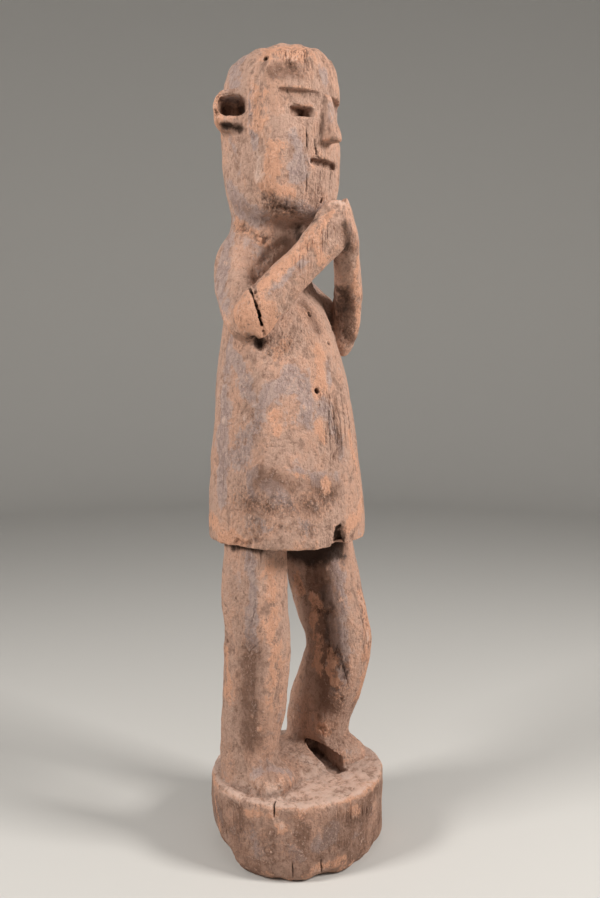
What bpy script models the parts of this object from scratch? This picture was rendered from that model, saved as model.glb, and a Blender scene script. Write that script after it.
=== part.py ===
"""Ancestor figure in weathered wood, cut with its round plinth from one log.

The figure stands on slightly bent legs in a long flared tunic, the hands pressed together
under the chin. It faces -Y, its right side is at -X, and +Z is up. The origin is the middle
of the plinth's underside. Everything is in metres.

The carving is laid out on a scale of its own: 900 shares of height from the plinth's top to
the crown, and 222 shares of girth across the log. The tables of stations below are in these
shares, so the figure follows its height and the log that it is cut from.
"""

import math

import bmesh
import bpy
from mathutils import Vector

# Driving sizes, in metres
FIGURE_HEIGHT = 0.900
PLINTH_HEIGHT = 0.100
LOG_DIAMETER = 0.222
RIM_WEAR = 0.004
FOOT_WEAR = 0.014

# The carver's scale: one share of height, and one share of girth
SHARE = FIGURE_HEIGHT / 900
GIRTH = LOG_DIAMETER / 222

# How fine the solid is, and the triangles of each mass
RING_POINTS = 28
BLEND_VOXEL = 4.2 * min(SHARE, GIRTH)
BLEND_SMOOTHING = 3
UPPER_TRIANGLES = 4100
LOWER_TRIANGLES = 2300
FOREARM_TRIANGLES = 480

# Depth, in shares, by which a form is sunk into the one that carries it
ROOT_DEPTH = 24

# Station: x, y, height over the plinth, half width, half depth, squareness (2 is an ellipse)
HEM_LINE = 304
TUNIC = (
    (-4, 12, HEM_LINE - ROOT_DEPTH, 99, 95, 2.2),
    (-4, 12, HEM_LINE, 99, 95, 2.2),
    (-4, 12, 326, 100, 96, 2.2),
    (-5, 15, 405, 94, 89, 2.2),
    (-6, 19, 500, 84, 79, 2.1),
    (-6, 27, 575, 72, 62, 2.0),
    (-7, 39, 622, 67, 45, 2.0),
    (-7, 40, 656, 67, 45, 2.0),
    (-6, 37, 680, 60, 46, 2.0),
    (-6, 33, 704, 54, 49, 2.0),
)
HEAD = (
    (-6, 25, 690, 50, 46, 2.2),
    (-6, 20, 697, 59, 56, 2.2),
    (-6, 18, 712, 65, 64, 2.2),
    (-6, 19, 750, 70, 69, 2.2),
    (-6, 20, 800, 71, 71, 2.2),
    (-6, 19, 850, 69, 70, 2.2),
    (-5, 16, 872, 63, 65, 2.2),
    (-4, 15, 886, 52, 54, 2.2),
    (-4, 16, 896, 34, 35, 2.1),
    (-6, 19, 900, 12, 12, 2.0),
)
RIGHT_LEG = (
    (-62, 11, 330, 28, 38, 3.0),
    (-64, 12, 296, 30, 40, 3.0),
    (-66, 13, 240, 31, 42, 3.0),
    (-66, 8, 180, 31, 41, 3.0),
    (-66, 14, 110, 31, 42, 3.0),
    (-66, 22, 45, 30, 37, 2.8),
    (-66, 22, -ROOT_DEPTH, 31, 37, 2.4),
)
LEFT_LEG = (
    (54, 16, 330, 33, 42, 3.0),
    (57, 14, 290, 34, 46, 3.0),
    (61, 0, 220, 34, 49, 3.0),
    (63, -20, 155, 33, 43, 3.0),
    (62, -8, 105, 34, 45, 3.0),
    (59, 12, 48, 34, 43, 2.8),
    (61, 17, -ROOT_DEPTH, 32, 40, 2.4),
)
RIGHT_UPPER_ARM = (
    (-37, 50, 676, 19, 23, 2.2),
    (-50, 50, 650, 25, 28, 2.6),
    (-62, 40, 617, 25, 28, 3.0),
    (-72, 20, 588, 24, 28, 3.0),
    (-80, 5, 570, 23, 27, 2.8),
    (-84, -5, 558, 16, 18, 2.2),
)
LEFT_UPPER_ARM = (
    (19, 52, 662, 20, 25, 2.0),
    (36, 53, 645, 25, 28, 2.2),
    (47, 50, 616, 24, 27, 2.4),
    (61, 27, 588, 23, 32, 2.6),
    (74, 8, 558, 22, 27, 2.4),
    (82, -6, 540, 12, 14, 2.2),
)
RIGHT_FOREARM = (
    (-93, 3, 552, 8, 11, 2.2),
    (-89, -2, 562, 17, 23, 2.6),
    (-79, -9, 584, 20, 27, 2.8),
    (-58, -27, 614, 19, 23, 2.8),
    (-34, -51, 648, 18, 23, 2.8),
    (-18, -64, 673, 17, 25, 2.8),
    (-14, -69, 697, 11, 19, 2.6),
    (-13, -71, 712, 6, 11, 2.4),
)
LEFT_FOREARM = (
    (85, -2, 532, 11, 13, 2.4),
    (80, -9, 556, 19, 22, 2.8),
    (62, -32, 602, 18, 20, 2.8),
    (29, -56, 645, 17, 21, 2.8),
    (9, -68, 672, 17, 23, 2.8),
    (1, -73, 700, 9, 15, 2.6),
    (-1, -75, 716, 4, 6, 2.2),
)
RIGHT_FOOT = (
    (-66, 44, 4, 22, 12, 2.2),
    (-66, 30, 8, 30, 18, 2.6),
    (-67, 4, 9, 31, 20, 2.6),
    (-66, -20, 7, 30, 18, 2.6),
    (-64, -32, 4, 27, 13, 2.6),
    (-63, -38, 0, 20, 6, 2.4),
)
LEFT_FOOT = (
    (62, 42, 4, 22, 12, 2.2),
    (62, 28, 8, 28, 18, 2.6),
    (60, -2, 9, 27, 20, 2.6),
    (56, -30, 8, 28, 18, 2.6),
    (54, -48, 5, 27, 13, 2.6),
    (53, -56, 0, 20, 6, 2.4),
)
# The wood left standing between the feet
MOUND = (
    (-2, 22, -ROOT_DEPTH, 66, 70, 2.2),
    (-2, 20, -2, 62, 64, 2.2),
    (-2, 22, 10, 50, 46, 2.2),
    (-2, 26, 17, 32, 28, 2.0),
    (-2, 28, 19, 12, 10, 2.0),
)

# Face, on the usual canon: eyes half way up the head, the nose ending a third of the way up
# from the chin, the mouth a fifth of the way up
CROWN = HEAD[-1][2]
CHIN = 722
HEAD_LENGTH = CROWN - CHIN
EYE_LINE = CHIN + 0.50 * HEAD_LENGTH
BROW_LINE = CHIN + 0.63 * HEAD_LENGTH
NOSE_BASE = CHIN + 0.32 * HEAD_LENGTH
MOUTH_LINE = CHIN + 0.19 * HEAD_LENGTH
FACE_MIDDLE = -6
FACE_FRONT = -50
EYE_WIDTH = 25
EYE_TALL = 12
EYE_SPACING = 60
EYE_DEPTH = 24
MOUTH_WIDTH = 48
MOUTH_TALL = 8
MOUTH_DEPTH = 11
NOSE_WIDTH = 27
NOSE_ROOT_WIDTH = 19
NOSE_REACH = 21
NOSE_ROOT_REACH = 5
NOSE_RIDGE = 0.62
HEAD_RADIUS = 72
HEAD_MIDDLE_Y = 20
BROW_WIDTH = 52
BROW_RUN = 52
BROW_CUT = 8
BROW_BEARING = math.radians(30)

# Ears: cups that open forwards and outwards
EAR_REACH = 79
EAR_BACK = 25
EAR_HEIGHT = CHIN + 0.52 * HEAD_LENGTH
EAR_TURN = math.radians(44)
EAR_WIDE = 24
EAR_TALL = 24
EAR_LONG = 34
EAR_RIM = 7.5
EAR_SILL = 17
EAR_CUP_DEPTH = 23

# Narrow cuts, each along a line from its first end to its other, as x, y and height
ARM_SLIT = ((-101, -19, 622), (-88, -25, 553))
SLIT_WIDTH = 3
SLIT_DEPTH = 34
PALM_SLIT = ((-7, -60, 722), (-5, -60, 690))
PALM_GAP = 2.5
FOOT_GROOVE = ((36, 6, 12), (19, -58, 0))
GROOVE_WIDTH = 20
GROOVE_DEPTH = 11
# The bite out of the hem: height, left and right side, and how deep it goes in
HEM_NOTCH = ((296, -31, -8, 16), (328, -25, -14, 8))
HEM_FRONT = -85

# Bites out of the plinth's lower edge: first and last bearing in degrees, and depth in metres
FOOT_CHIPS = (
    (112, 179, 0.010),
    (132, 173, 0.007),
    (-158, -146, 0.003),
    (-132, -108, 0.006),
    (-98, -86, 0.004),
    (-76, -60, 0.003),
    (-30, -8, 0.005),
    (34, 82, 0.007),
)
CHIP_SLOPE = 7
PLINTH_POINTS = 90


def scaled(station):
    """A station in metres, its height counted from the ground."""
    x, y, height, half_width, half_depth, squareness = station
    return (
        x * GIRTH,
        y * GIRTH,
        PLINTH_HEIGHT + height * SHARE,
        half_width * GIRTH,
        half_depth * GIRTH,
        squareness,
    )


def point(x, y, height):
    """A place on the carver's scale, in metres."""
    return Vector((x * GIRTH, y * GIRTH, PLINTH_HEIGHT + height * SHARE))


def smooth_between(before, start, end, after, t):
    """Catmull-Rom curve through start and end, at t from 0 to 1."""
    return 0.5 * (
        2 * start
        + (end - before) * t
        + (2 * before - 5 * start + 4 * end - after) * t * t
        + (3 * start - before - 3 * end + after) * t**3
    )


def fill_in(stations, steps):
    """Stations joined by a smooth curve, with this many steps from each to the next."""
    count = len(stations)
    filled = []
    for i in range(count - 1):
        four = [stations[min(max(k, 0), count - 1)] for k in range(i - 1, i + 3)]
        for s in range(steps):
            filled.append([smooth_between(*values, s / steps) for values in zip(*four)])
    filled.append(list(stations[-1]))
    return filled


def ring(centre, side, front, half_width, half_depth, squareness, count=RING_POINTS):
    """Points of a superellipse round the centre, in the plane of side and front."""
    power = 2 / squareness
    points = []
    for k in range(count):
        angle = 2 * math.pi * k / count
        c, s = math.cos(angle), math.sin(angle)
        across = half_width * math.copysign(abs(c) ** power, c)
        along = half_depth * math.copysign(abs(s) ** power, s)
        points.append(centre + side * across + front * along)
    return points


def skin(name, rings):
    """A closed mesh object over rings of equally many points."""
    mesh = bmesh.new()
    loops = [[mesh.verts.new(p) for p in points] for points in rings]
    count = len(loops[0])
    for lower, upper in zip(loops, loops[1:]):
        for k in range(count):
            following = (k + 1) % count
            mesh.faces.new((lower[k], lower[following], upper[following], upper[k]))
    mesh.faces.new(list(reversed(loops[0])))
    mesh.faces.new(loops[-1])
    bmesh.ops.recalc_face_normals(mesh, faces=mesh.faces)
    data = bpy.data.meshes.new(name)
    mesh.to_mesh(data)
    mesh.free()
    return bpy.data.objects.new(name, data)


def upright_form(name, stations, steps=3):
    """A form built of level sections, such as the tunic or the head."""
    rings = []
    for x, y, z, half_width, half_depth, squareness in fill_in([scaled(s) for s in stations], steps):
        side, front = Vector((1, 0, 0)), Vector((0, 1, 0))
        rings.append(ring(Vector((x, y, z)), side, front, half_width, half_depth, squareness))
    return skin(name, rings)


def limb(name, stations, upward, steps=3):
    """A form whose sections stand square to its own line; half_depth lies nearest to upward."""
    filled = fill_in([scaled(s) for s in stations], steps)
    centres = [Vector(row[:3]) for row in filled]
    rings = []
    for k, (_, _, _, half_width, half_depth, squareness) in enumerate(filled):
        line = (centres[min(k + 1, len(centres) - 1)] - centres[max(k - 1, 0)]).normalized()
        side = line.cross(upward).normalized()
        front = side.cross(line).normalized()
        rings.append(ring(centres[k], side, front, half_width, half_depth, squareness))
    return skin(name, rings)


def block(name, corners_low, corners_high):
    """A six-sided solid from two quads of four corners each, in the same order."""
    mesh = bmesh.new()
    low = [mesh.verts.new(p) for p in corners_low]
    high = [mesh.verts.new(p) for p in corners_high]
    mesh.faces.new(low)
    mesh.faces.new(high)
    for k in range(4):
        following = (k + 1) % 4
        mesh.faces.new((low[k], low[following], high[following], high[k]))
    bmesh.ops.recalc_face_normals(mesh, faces=mesh.faces)
    data = bpy.data.meshes.new(name)
    mesh.to_mesh(data)
    mesh.free()
    return bpy.data.objects.new(name, data)


def box(name, low, high):
    """An upright box between two corners in metres."""
    corners = [
        [Vector((x, y, z)) for x, y in ((low[0], low[1]), (high[0], low[1]), (high[0], high[1]), (low[0], high[1]))]
        for z in (low[2], high[2])
    ]
    return block(name, *corners)


def add_modifier(target, kind, name, **settings):
    modifier = target.modifiers.new(name, kind)
    for key, value in settings.items():
        setattr(modifier, key, value)
    return modifier


def join_to(target, other, collection):
    """Unites another form with the target."""
    collection.objects.link(other)
    other.hide_render = True
    other.display_type = "WIRE"
    add_modifier(target, "BOOLEAN", "add " + other.name, operation="UNION", object=other)


def cut_from(target, cutter, collection):
    """Takes a cutter out of the target."""
    collection.objects.link(cutter)
    cutter.hide_render = True
    cutter.display_type = "WIRE"
    add_modifier(target, "BOOLEAN", "cut " + cutter.name, operation="DIFFERENCE", object=cutter)


def upper_forms():
    """The head, the ears and the upper arms, which run into the tunic."""
    back = Vector((0, 1, 0))
    return [
        upright_form("head_form", HEAD),
        limb("right_upper_arm_form", RIGHT_UPPER_ARM, back),
        limb("left_upper_arm_form", LEFT_UPPER_ARM, back),
        *[ear_form(side) for side in (-1, 1)],
    ]


def lower_forms():
    """The legs and feet, which run into the mound between them."""
    up = Vector((0, 0, 1))
    back = Vector((0, 1, 0))
    return [
        limb("right_leg_form", RIGHT_LEG, back),
        limb("left_leg_form", LEFT_LEG, back),
        limb("right_foot_form", RIGHT_FOOT, up),
        limb("left_foot_form", LEFT_FOOT, up),
    ]


def ear_frame(side):
    """Middle of an ear's rim, the way it opens, and the level direction across it."""
    rim_middle = point(FACE_MIDDLE + side * EAR_REACH, EAR_BACK, EAR_HEIGHT)
    opening = Vector((side * math.sin(EAR_TURN), -math.cos(EAR_TURN), 0))
    across = Vector((0, 0, 1)).cross(opening)
    return rim_middle, opening, across


def ear_ring(side, along, half_width, low, high, squareness):
    """A level-sided section of an ear, from low to high in shares from the ear's middle."""
    rim_middle, opening, across = ear_frame(side)
    centre = rim_middle + opening * along * GIRTH + Vector((0, 0, (low + high) / 2 * SHARE))
    upright = Vector((0, 0, 1))
    return ring(centre, across, upright, half_width * GIRTH, (high - low) / 2 * SHARE, squareness)


def ear_form(side):
    """A box that flares a little out of the side of the head."""
    profile = ((-EAR_LONG, 0.80), (-0.5 * EAR_LONG, 0.92), (-0.12 * EAR_LONG, 1.0), (0, 0.96))
    rings = [
        ear_ring(side, along, EAR_WIDE * share, -EAR_TALL * share, EAR_TALL * share, 3.2)
        for along, share in profile
    ]
    return skin("right_ear_form" if side < 0 else "left_ear_form", rings)


def ear_cup(side):
    """The hollow of an ear, over a thick sill."""
    floor, roof = EAR_SILL - EAR_TALL, EAR_TALL - EAR_RIM
    profile = ((-EAR_CUP_DEPTH, 0.55), (-0.6 * EAR_CUP_DEPTH, 0.9), (0, 1.0), (0.5 * EAR_RIM, 1.0))
    rings = [
        ear_ring(side, along, (EAR_WIDE - EAR_RIM) * share, floor, floor + (roof - floor) * share, 3.0)
        for along, share in profile
    ]
    return skin("right_ear_cup" if side < 0 else "left_ear_cup", rings)


def nose_form():
    """A wedge that is deepest at its flat base."""
    corners = []
    for height, width, reach in (
        (NOSE_BASE, NOSE_WIDTH, NOSE_REACH),
        (BROW_LINE, NOSE_ROOT_WIDTH, NOSE_ROOT_REACH),
    ):
        front = FACE_FRONT - reach
        behind = FACE_FRONT + ROOT_DEPTH
        corners.append(
            [
                point(FACE_MIDDLE - width / 2, behind, height),
                point(FACE_MIDDLE - NOSE_RIDGE * width / 2, front, height),
                point(FACE_MIDDLE + NOSE_RIDGE * width / 2, front, height),
                point(FACE_MIDDLE + width / 2, behind, height),
            ]
        )
    return block("nose_form", *corners)


def eye_cutter(side):
    """A mortise with square corners."""
    middle = FACE_MIDDLE + side * EYE_SPACING / 2
    low = point(middle - EYE_WIDTH / 2, FACE_FRONT - ROOT_DEPTH, EYE_LINE - EYE_TALL / 2)
    high = point(middle + EYE_WIDTH / 2, FACE_FRONT + EYE_DEPTH, EYE_LINE + EYE_TALL / 2)
    return box("right_eye_mortise" if side < 0 else "left_eye_mortise", low, high)


def brow_cutter(side):
    """A flat cut under a brow: deepest at the brow line, running out on the cheek."""
    bearing = side * BROW_BEARING
    outwards = Vector((math.sin(bearing), -math.cos(bearing), 0))
    across = Vector((0, 0, 1)).cross(outwards) * BROW_WIDTH / 2 * GIRTH
    quads = []
    for height, depth in ((BROW_LINE - BROW_RUN, 0), (BROW_LINE, BROW_CUT)):
        middle = point(FACE_MIDDLE, HEAD_MIDDLE_Y, height)
        inner = middle + outwards * (HEAD_RADIUS - depth) * GIRTH
        outer = middle + outwards * (HEAD_RADIUS + ROOT_DEPTH) * GIRTH
        quads.append([inner - across, inner + across, outer + across, outer - across])
    return block("right_brow_cut" if side < 0 else "left_brow_cut", *quads)


def mouth_cutter():
    """A shallow slot."""
    low = point(FACE_MIDDLE - MOUTH_WIDTH / 2, FACE_FRONT - ROOT_DEPTH, MOUTH_LINE - MOUTH_TALL / 2)
    high = point(FACE_MIDDLE + MOUTH_WIDTH / 2, FACE_FRONT + MOUTH_DEPTH, MOUTH_LINE + MOUTH_TALL / 2)
    return box("mouth_slot", low, high)


def slab(name, top, bottom, inwards, thickness, depth):
    """A thin upright cutter: from top to bottom along its edge, and inwards to its depth."""
    drop = (bottom - top).normalized()
    inwards = inwards.normalized()
    across = drop.cross(inwards).normalized() * thickness / 2
    outer = [top - inwards * depth, bottom - inwards * depth]
    inner = [bottom + inwards * depth, top + inwards * depth]
    quad = outer + inner
    return block(name, [p - across for p in quad], [p + across for p in quad])


def arm_slit():
    """The saw cut that parts the right forearm from the upper arm behind it."""
    top, bottom = (point(*end) for end in ARM_SLIT)
    return slab("right_arm_slit", top, bottom, Vector((0.766, 0.643, 0)), SLIT_WIDTH * GIRTH, SLIT_DEPTH * GIRTH)


def palm_slit():
    """The line where the two palms meet, open at the fingertips."""
    top, bottom = (point(*end) for end in PALM_SLIT)
    return slab("palm_slit", top, bottom, Vector((0, -1, 0)), PALM_GAP * GIRTH, ROOT_DEPTH * GIRTH)


def foot_groove():
    """The deep cut along the inner side of the left foot."""
    heel, toe = (point(*end) for end in FOOT_GROOVE)
    return slab("left_foot_groove", heel, toe, Vector((0, 0, 1)), GROOVE_WIDTH * GIRTH, GROOVE_DEPTH * GIRTH)


def hem_cutter():
    """Everything under the hem, so that its lower edge is sharp."""
    reach = LOG_DIAMETER
    top = point(0, 0, HEM_LINE).z
    return box("under_hem", (-reach, -reach, top - 2 * ROOT_DEPTH * SHARE), (reach, reach, top))


def hem_notch():
    """A rotted bite out of the front of the hem, narrower at its top."""
    quads = []
    for height, left, right, depth in HEM_NOTCH:
        face = HEM_FRONT + depth
        outside = HEM_FRONT - ROOT_DEPTH
        quads.append([point(x, y, height) for x, y in ((left, outside), (right, outside), (right, face), (left, face))])
    return block("hem_notch", *quads)


def wear_height(angle):
    """How far the plinth's lower edge is eaten away, at this angle round it."""
    eaten = FOOT_WEAR
    bearing = math.degrees(math.remainder(angle, 2 * math.pi))
    for first, last, depth in FOOT_CHIPS:
        eaten += depth * min(max(min(bearing - first, last - bearing) / CHIP_SLOPE, 0), 1)
    return eaten


def log_radius(angle):
    """The plinth's radius: a log is never quite round."""
    oval = 1 + 0.012 * math.cos(2 * angle + 0.7) + 0.008 * math.cos(3 * angle + 2.0)
    return LOG_DIAMETER / 2 * oval


def plinth_form():
    """The round foot of the log, its lower edge worn and chipped."""
    profile = (
        (lambda wear: 0.9 * wear, lambda wear: 0.0),
        (lambda wear: 0.35 * wear, lambda wear: 0.5 * wear),
        (lambda wear: 0.0, lambda wear: 1.2 * wear),
        (lambda wear: 0.0, lambda wear: 0.5 * PLINTH_HEIGHT),
        (lambda wear: 0.0, lambda wear: PLINTH_HEIGHT - RIM_WEAR),
        (lambda wear: RIM_WEAR, lambda wear: PLINTH_HEIGHT),
    )
    rings = []
    for inset, height in profile:
        points = []
        for k in range(PLINTH_POINTS):
            angle = 2 * math.pi * k / PLINTH_POINTS
            wear = wear_height(angle)
            radius = log_radius(angle) - inset(wear)
            points.append(Vector((radius * math.cos(angle), radius * math.sin(angle), height(wear))))
        rings.append(points)
    return skin("plinth_form", rings)


def triangle_count(target):
    """Triangles of an object with its modifiers so far."""
    evaluated = target.evaluated_get(bpy.context.evaluated_depsgraph_get())
    mesh = evaluated.to_mesh()
    mesh.calc_loop_triangles()
    return len(mesh.loop_triangles)


def blend(mass, others, triangles, forms):
    """Runs the other forms into the mass, as a carver softens the joins."""
    for form in others:
        join_to(mass, form, forms)
    add_modifier(mass, "REMESH", "blend the masses", mode="VOXEL", voxel_size=BLEND_VOXEL)
    add_modifier(mass, "SMOOTH", "round the joins", factor=0.5, iterations=BLEND_SMOOTHING)
    ratio = min(1.0, triangles / triangle_count(mass))
    add_modifier(mass, "DECIMATE", "broad facets", ratio=ratio)
    return mass


def carved_figure(parts, forms, cutters):
    """The one solid: masses blended, then joined along sharp lines, and the sharp cuts."""
    up = Vector((0, 0, 1))
    figure = upright_form("ancestor_figure", TUNIC, steps=4)
    parts.objects.link(figure)
    blend(figure, upper_forms(), UPPER_TRIANGLES, forms)
    cut_from(figure, hem_cutter(), cutters)
    for mass, others, triangles in (
        (upright_form("lower_mass", MOUND), lower_forms(), LOWER_TRIANGLES),
        (limb("right_forearm", RIGHT_FOREARM, up), [], FOREARM_TRIANGLES),
        (limb("left_forearm", LEFT_FOREARM, up), [], FOREARM_TRIANGLES),
    ):
        join_to(figure, mass, forms)
        blend(mass, others, triangles, forms)
    join_to(figure, nose_form(), forms)
    join_to(figure, plinth_form(), forms)
    for side in (-1, 1):
        cut_from(figure, ear_cup(side), cutters)
        cut_from(figure, brow_cutter(side), cutters)
        cut_from(figure, eye_cutter(side), cutters)
    for cutter in (mouth_cutter(), arm_slit(), palm_slit(), foot_groove(), hem_notch()):
        cut_from(figure, cutter, cutters)
    return figure


def wood():
    """Dry, weathered wood."""
    material = bpy.data.materials.new("weathered_wood")
    material.use_nodes = True
    shader = material.node_tree.nodes["Principled BSDF"]
    shader.inputs["Base Color"].default_value = (0.36, 0.21, 0.14, 1)
    shader.inputs["Roughness"].default_value = 0.85
    shader.inputs["Metallic"].default_value = 0.0
    return material


def main():
    for old in list(bpy.data.objects):
        bpy.data.objects.remove(old)
    parts = bpy.data.collections.new("Ancestor figure")
    forms = bpy.data.collections.new("Forms")
    cutters = bpy.data.collections.new("Cutters")
    for collection in (parts, forms, cutters):
        bpy.context.scene.collection.children.link(collection)
    figure = carved_figure(parts, forms, cutters)
    figure.data.materials.append(wood())


main()
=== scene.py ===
"""A weathered wooden ancestor figure, carved with its plinth from one log, and its stage."""

import itertools
import math

import bpy
import numpy as np
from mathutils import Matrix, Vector
from mathutils.bvhtree import BVHTree
from mathutils.kdtree import KDTree


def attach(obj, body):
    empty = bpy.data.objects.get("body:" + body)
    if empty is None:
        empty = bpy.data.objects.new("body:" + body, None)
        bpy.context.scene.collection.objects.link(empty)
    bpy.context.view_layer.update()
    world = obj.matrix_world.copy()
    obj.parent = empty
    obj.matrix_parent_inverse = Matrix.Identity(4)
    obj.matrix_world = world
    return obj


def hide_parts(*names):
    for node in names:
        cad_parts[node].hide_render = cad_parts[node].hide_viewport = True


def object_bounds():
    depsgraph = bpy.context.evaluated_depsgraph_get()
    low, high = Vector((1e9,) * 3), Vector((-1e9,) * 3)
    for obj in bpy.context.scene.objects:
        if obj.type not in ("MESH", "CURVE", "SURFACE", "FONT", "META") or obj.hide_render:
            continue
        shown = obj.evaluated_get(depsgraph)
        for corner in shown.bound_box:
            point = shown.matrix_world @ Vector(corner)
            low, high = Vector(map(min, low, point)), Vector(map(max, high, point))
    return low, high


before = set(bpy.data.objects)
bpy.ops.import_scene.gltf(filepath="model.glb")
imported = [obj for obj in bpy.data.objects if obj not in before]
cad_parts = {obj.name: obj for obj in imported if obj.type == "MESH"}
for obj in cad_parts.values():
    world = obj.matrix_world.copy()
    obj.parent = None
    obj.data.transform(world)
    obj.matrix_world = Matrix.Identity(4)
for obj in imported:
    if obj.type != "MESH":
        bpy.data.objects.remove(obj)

bl_info = {
    "name": "Ancestor Figure",
    "version": (1, 0, 0),
    "blender": (4, 5, 0),
    "location": "View3D > Sidebar > Ancestor Figure",
    "description": "Carves the weathered surface of a wooden ancestor figure and sets its stage",
    "category": "Object",
}

NODE = "ancestor_figure"
CAD_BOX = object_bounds()

# The tables give places on the wood and their sizes in millimetres. The figure faces -Y and stands
# on z = 0, and its right side is towards -X. Strengths run from 0 to 1, and past 1 for a hard edge.
PER_METRE = 1000

# What lies lower than this stays as flat as the sawn underside
UNDERSIDE = 1.2

# Holes of wood beetles: centre, radius and depth
BEETLE_HOLES = (
    ((-65, -9, 969), 3, 9),
    ((-73, 5, 954), 2.6, 0.9),
    ((-12, -31, 681), 3, 10),
    ((6, -45, 645), 2.6, 7),
    ((-32, -58, 590), 3.2, 11),
    ((55, 70, 560), 2.7, 9),
    ((78, 52, 602), 2.4, 8),
    ((-40, 85, 480), 2.6, 9),
    ((20, 92, 905), 2.6, 8),
    ((85, 20, 330), 2.4, 7),
)

# Open drying cracks: top end, bottom end, half width and depth
CRACKS = (
    ((-73, 8, 955), (-75, 6, 884), 0.7, 0.9),
    ((-73, 1, 948), (-75, -1, 880), 0.6, 0.6),
    ((-29, -34, 990), (-38, -43, 950), 0.7, 1.8),
    ((-25, -34, 992), (-34, -45, 953), 0.7, 1.6),
    ((-48, -23, 985), (-54, -30, 958), 0.6, 1.4),
    ((-36, -46, 892), (-36, -46, 868), 1, 3.5),
    ((-24, -49, 880), (-23, -49, 838), 1.3, 5),
    ((-14, -46, 848), (-13, -46, 826), 0.8, 2.6),
    ((-34, -44, 842), (-33, -42, 818), 0.9, 2.8),
    ((6, -49, 860), (7, -47, 824), 1, 3.4),
    ((30, -44, 872), (31, -42, 815), 1, 3.4),
    ((-15, -62, 585), (-23, -72, 505), 0.9, 2.6),
    ((-8, -62, 575), (-13, -72, 512), 0.9, 2.4),
    ((2, -62, 590), (-2, -72, 500), 0.9, 2.2),
    ((13, -61, 598), (10, -70, 520), 0.9, 2.6),
    ((22, -60, 585), (21, -72, 486), 0.9, 2),
    ((-27, -64, 556), (-28, -71, 515), 0.7, 1.8),
    ((-91, -15, 535), (-72, -46, 532), 0.7, 0.7),
    ((-89, -23, 526), (-70, -49, 525), 0.8, 1),
    ((-96, 8, 354), (-96, -3, 341), 0.8, 1),
    ((-93, -15, 342), (-96, -8, 307), 0.8, 1.2),
    ((-91, -23, 295), (-97, -2, 273), 0.8, 1),
    ((31, -28, 266), (31, -26, 244), 1.1, 2),
    ((33, -42, 264), (31, -36, 242), 1, 1.8),
    ((33, -45, 248), (46, -51, 199), 0.8, 1.3),
    ((36, -47, 240), (44, -50, 206), 0.9, 1.8),
    ((-15, -11, 114), (5, -31, 106), 0.9, 1.4),
    ((-99, -47, 104), (-100, -49, 84), 1.2, 3),
    ((-63, -91, 34), (-57, -90, 4), 0.8, 3),
    ((-110, 21, 50), (-110, 23, 30), 1, 3),
    ((-99, -16, 712), (-83, -22, 653), 1.8, 10),
    ((-88, -67, 30), (-88, -67, 8), 0.7, 2.2),
    ((72, -83, 99), (70, -85, 30), 1.2, 5),
    ((105, 30, 100), (106, 32, 45), 1.3, 6),
    ((20, 108, 70), (18, 109, 4), 1.4, 7),
    ((12, 90, 960), (10, 92, 850), 1.4, 6),
    ((30, 88, 700), (26, 94, 560), 1.4, 6),
    ((-52, 80, 560), (-54, 86, 440), 1.1, 4),
)

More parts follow.
